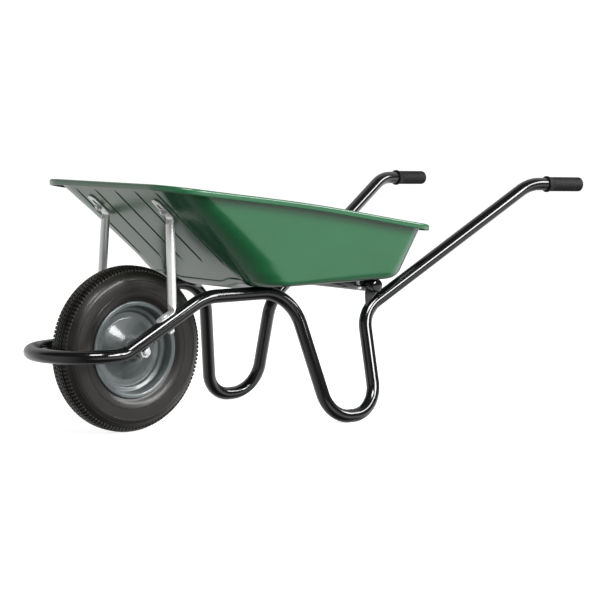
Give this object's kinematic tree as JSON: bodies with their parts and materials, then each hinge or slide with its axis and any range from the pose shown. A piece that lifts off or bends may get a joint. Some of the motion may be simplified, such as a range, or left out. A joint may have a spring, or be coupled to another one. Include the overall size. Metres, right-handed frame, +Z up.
{
  "type": "wheelbarrow",
  "caption": "Single-wheel garden wheelbarrow with a pressed steel tray on a bent tube frame, strutted front, looped wheel guard and straight rear grips",
  "frame": {"origin": "on the ground under the middle of the bounding box", "axes": "+X from the wheel toward the handles, +Y toward the pusher's right-hand grip, +Z up"},
  "size_m": [1.4651, 0.6344, 0.5868],
  "materials": {
    "tray_paint": "gloss green powder coat on pressed sheet steel",
    "frame_paint": "gloss black powder coat on steel tube and plate",
    "rim_paint": "gloss slate grey paint on pressed steel discs",
    "zinc": "bright zinc plate",
    "bearing_steel": "plain turned steel",
    "tyre_rubber": "matte black moulded tread rubber",
    "grip_rubber": "fine-textured dark grey plastic"
  },
  "bodies": {
    "barrow": {"tray": "tray_paint", "nose_tube": "frame_paint", "side_tube_left": "frame_paint", "side_tube_right": "frame_paint", "rear_crossbar": "frame_paint", "gusset_left": "frame_paint", "gusset_right": "frame_paint", "rear_ear_left": "frame_paint", "rear_ear_right": "frame_paint", "front_tab_left": "frame_paint", "front_tab_right": "frame_paint", "axle_bracket_left": "frame_paint", "axle_bracket_right": "frame_paint", "strut_left": "zinc", "strut_right": "zinc", "strut_top_left_bolt": "zinc", "strut_top_left_nut": "zinc", "strut_top_right_bolt": "zinc", "strut_top_right_nut": "zinc", "strut_foot_left_bolt": "zinc", "strut_foot_left_nut": "zinc", "strut_foot_right_bolt": "zinc", "strut_foot_right_nut": "zinc", "front_tray_left_bolt": "zinc", "front_tray_left_nut": "zinc", "front_tray_right_bolt": "zinc", "front_tray_right_nut": "zinc", "rear_tray_left_bolt": "zinc", "rear_tray_left_nut": "zinc", "rear_tray_right_bolt": "zinc", "rear_tray_right_nut": "zinc", "axle": "zinc", "axle_nut_left": "zinc", "axle_nut_right": "zinc", "axle_washer_left": "zinc", "axle_washer_right": "zinc", "spacer_left": "zinc", "spacer_right": "zinc", "grip_left": "grip_rubber", "grip_right": "grip_rubber"},
    "wheel": {"rim_left": "rim_paint", "rim_right": "rim_paint", "hub_tube": "rim_paint", "bearing_left": "bearing_steel", "bearing_right": "bearing_steel", "tyre": "tyre_rubber", "inner_tube": "tyre_rubber", "valve_stem": "bearing_steel", "valve_cap": "tyre_rubber"}
  },
  "joints": [
    {"name": "wheel_spin", "type": "hinge", "parent": "barrow", "child": "wheel", "pos_m": [-0.477, 0, 0.195], "axis": [0, 1, 0], "continuous": true}
  ]
}
